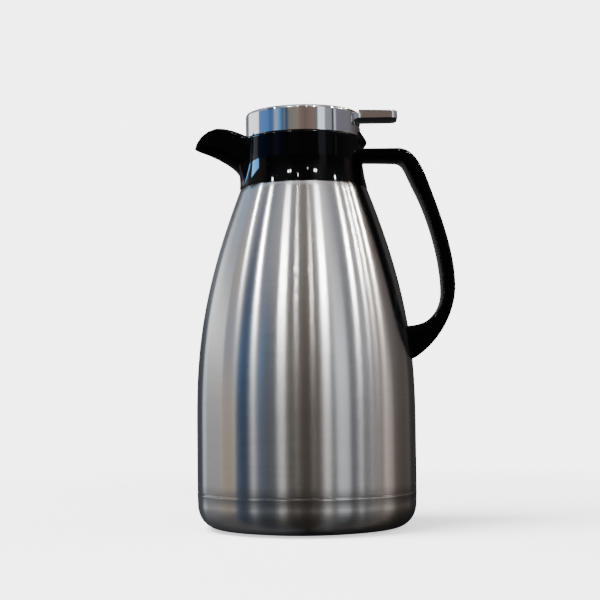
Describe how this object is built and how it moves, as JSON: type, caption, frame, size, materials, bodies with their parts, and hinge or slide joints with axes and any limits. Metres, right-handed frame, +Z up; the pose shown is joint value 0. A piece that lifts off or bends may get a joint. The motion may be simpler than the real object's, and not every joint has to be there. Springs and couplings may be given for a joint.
{
  "type": "vacuum coffee carafe",
  "caption": "Stainless-steel vacuum coffee carafe with a gloss black collar, beak spout and strap handle, and a chrome screw-in lid whose thumb lever lifts the pouring valve.",
  "frame": {"origin": "centre of the flat face that the carafe stands on, on the vessel's axis", "axes": "+Z up along the vessel's axis; the spout points to -X; the handle and the lid's lever point to +X"},
  "size_m": [0.1683, 0.1412, 0.2701],
  "materials": {
    "brushed_steel": "bright steel, brushed around the body",
    "plain_steel": "plain drawn or turned stainless steel",
    "getter_metal": "dull sintered metal",
    "chrome_plating": "mirror-bright plating with soft moulded edges",
    "black_gloss": "gloss black moulded plastic",
    "black_plastic": "satin black moulded plastic",
    "base_rubber": "matte black non-slip rubber",
    "silicone": "translucent grey silicone"
  },
  "bodies": {
    "vessel": {"base_pad": "base_rubber", "base_cup": "brushed_steel", "vacuum_seal": "plain_steel", "getter_capsule": "getter_metal", "outer_shell": "brushed_steel", "inner_liner": "plain_steel", "spout_collar": "black_gloss", "neck_gasket": "silicone", "neck_insert": "black_plastic", "handle": "black_gloss", "handle_top_screw": "plain_steel", "handle_lug": "plain_steel", "handle_foot_screw": "plain_steel"},
    "lid_seal": {"lid_gasket": "silicone"},
    "lid": {"stopper_body": "black_plastic", "valve_seat": "black_plastic", "stem_seal": "silicone", "chrome_cap": "chrome_plating", "cap_screw_1": "plain_steel", "cap_screw_2": "plain_steel", "cap_screw_3": "plain_steel", "lever_bracket": "chrome_plating", "bracket_screw_1": "plain_steel", "bracket_screw_2": "plain_steel", "lever_pin": "plain_steel", "valve_spring": "plain_steel"},
    "lever": {"lever": "chrome_plating"},
    "valve": {"valve_stem": "plain_steel", "stem_clip": "plain_steel", "valve_disc": "black_plastic", "valve_washer": "silicone", "valve_nut": "plain_steel"}
  },
  "joints": [
    {"name": "lid_turn", "type": "hinge", "parent": "lid_seal", "child": "lid", "pos_m": [0, 0, 0.24], "axis": [0, 0, 1], "range_deg": [0, 720]},
    {"name": "lid_lift", "type": "slide", "parent": "vessel", "child": "lid_seal", "axis": [0, 0, 1], "range_m": [0, 0.048]},
    {"name": "lever_press", "type": "hinge", "parent": "lid", "child": "lever", "pos_m": [0.03, 0, 0.26], "axis": [0, 1, 0], "range_deg": [0, 8], "stiffness_Nm_per_rad": 0.9, "springref_deg": -14.32},
    {"name": "valve_lift", "type": "slide", "parent": "lid", "child": "valve", "axis": [0, 0, 1], "range_m": [0, 0.0045], "deforming": ["valve_spring"]}
  ],
  "couplings": [
    {"joint": "lid_turn", "follows": "lid_lift", "rad_per_m": 261.8},
    {"joint": "valve_lift", "follows": "lever_press", "m_per_rad": 0.03}
  ]
}
